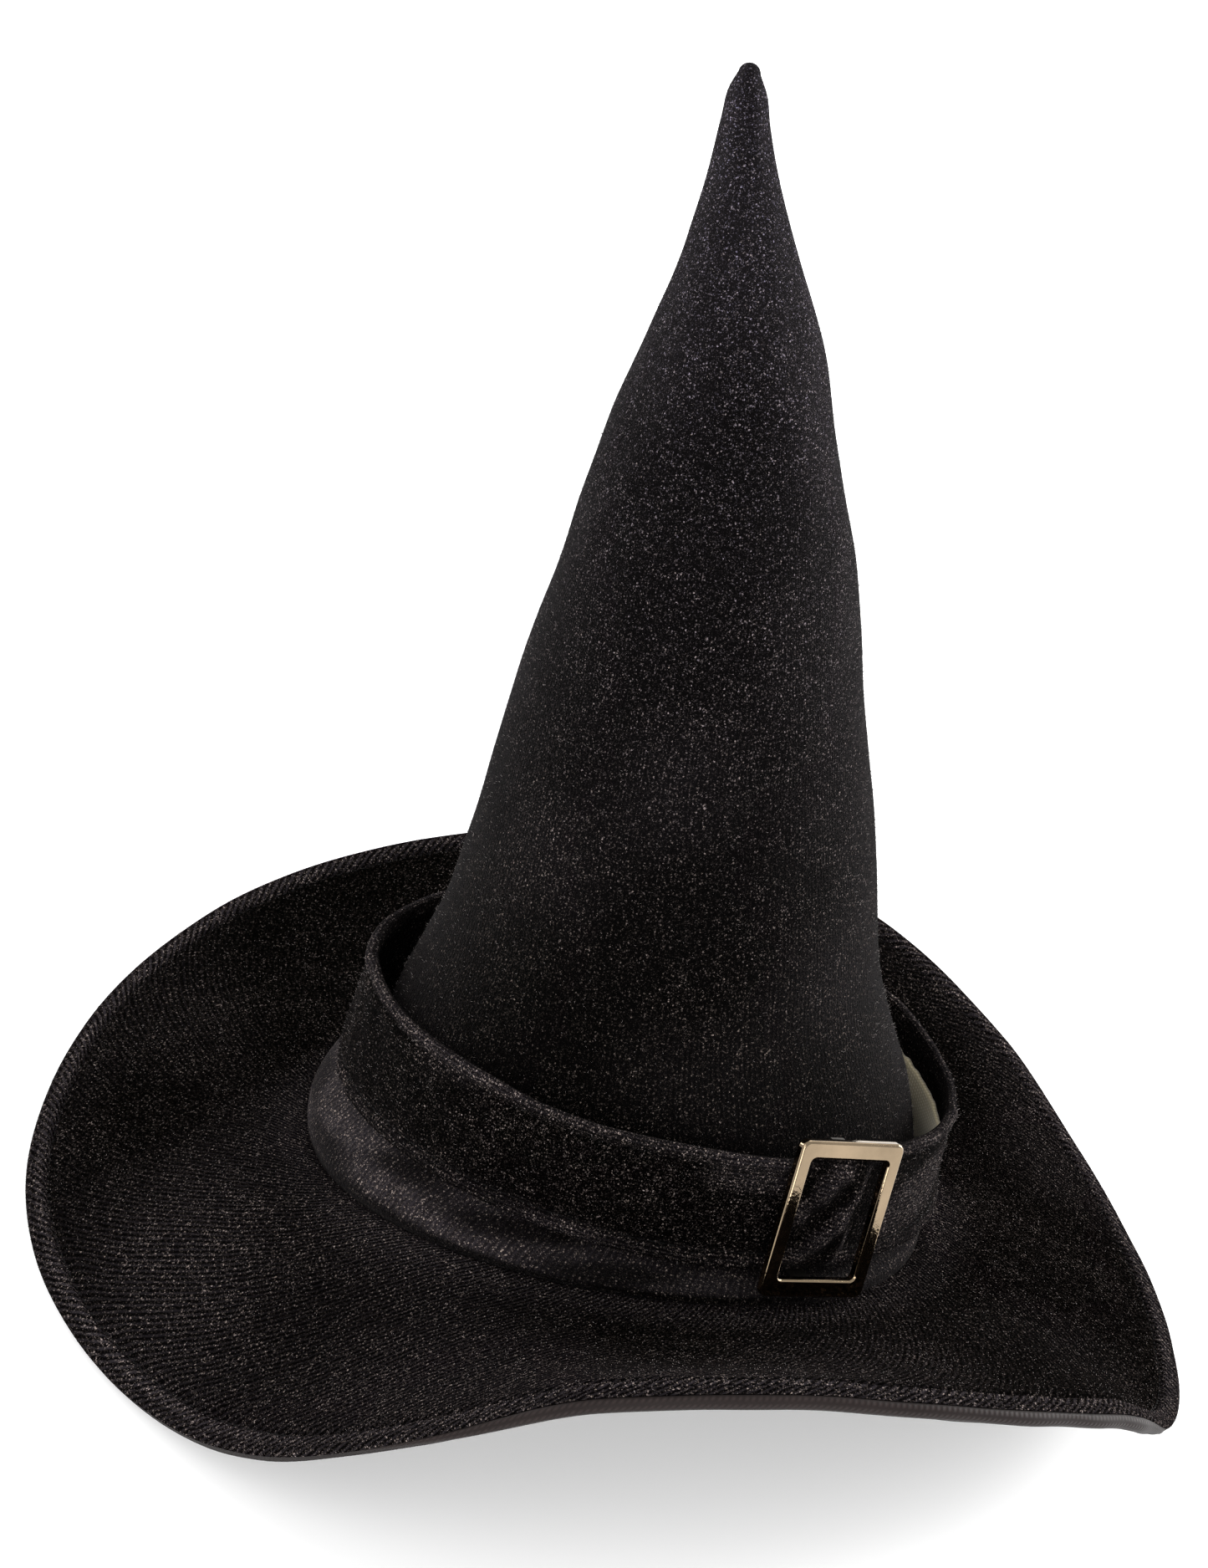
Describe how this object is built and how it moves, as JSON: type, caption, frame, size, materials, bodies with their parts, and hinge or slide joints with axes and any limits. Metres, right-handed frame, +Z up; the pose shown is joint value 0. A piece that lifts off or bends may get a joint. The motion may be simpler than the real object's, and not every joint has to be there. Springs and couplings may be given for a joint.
{
  "type": "witch hat",
  "caption": "Tall pointed cloth hat with a wide warped wired brim, a loose hat band and a metal slide buckle, for fancy dress.",
  "frame": {"origin": "bottom centre of the bounding box, with the hat standing on its warped brim", "axes": "+Z up from the floor, -Y the front with the raised brim, +X the wearer-side the buckle is on; the head opening's own axis leans 13.7 degrees back and 3.7 degrees to -X"},
  "size_m": [0.3738, 0.3714, 0.3766],
  "materials": {
    "crown_cone": "black velour, short pile",
    "crown_interlining": "stiff non-woven",
    "brim_upper": "black velour, short pile",
    "brim_interlining": "stiff needled felt",
    "brim_lower": "black-brown satin",
    "brim_wire": "spring wire",
    "wire_ferrule": "crimped sleeve",
    "sweatband": "black ribbed ribbon",
    "hat_band": "black velour, folded hems",
    "band_stiffener": "cream stiff strip",
    "band_tacks": "black thread",
    "buckle_frame": "gunmetal plated, polished",
    "buckle_bar": "plated strip"
  },
  "bodies": {
    "hat": {"crown_cone": "crown_cone", "crown_interlining": "crown_interlining", "brim_upper": "brim_upper", "brim_interlining": "brim_interlining", "brim_lower": "brim_lower", "brim_wire": "brim_wire", "wire_ferrule": "wire_ferrule", "sweatband": "sweatband", "hat_band": "hat_band", "band_stiffener": "band_stiffener", "band_tacks": "band_tacks"},
    "buckle": {"buckle_frame": "buckle_frame", "buckle_bar": "buckle_bar"}
  },
  "joints": [
    {"name": "buckle_slide", "type": "hinge", "parent": "hat", "child": "buckle", "pos_m": [0.00046, 0.00487, 0.07418], "axis": [-0.0017, 0.2364, 0.9717], "range_deg": [-8, 8]}
  ]
}
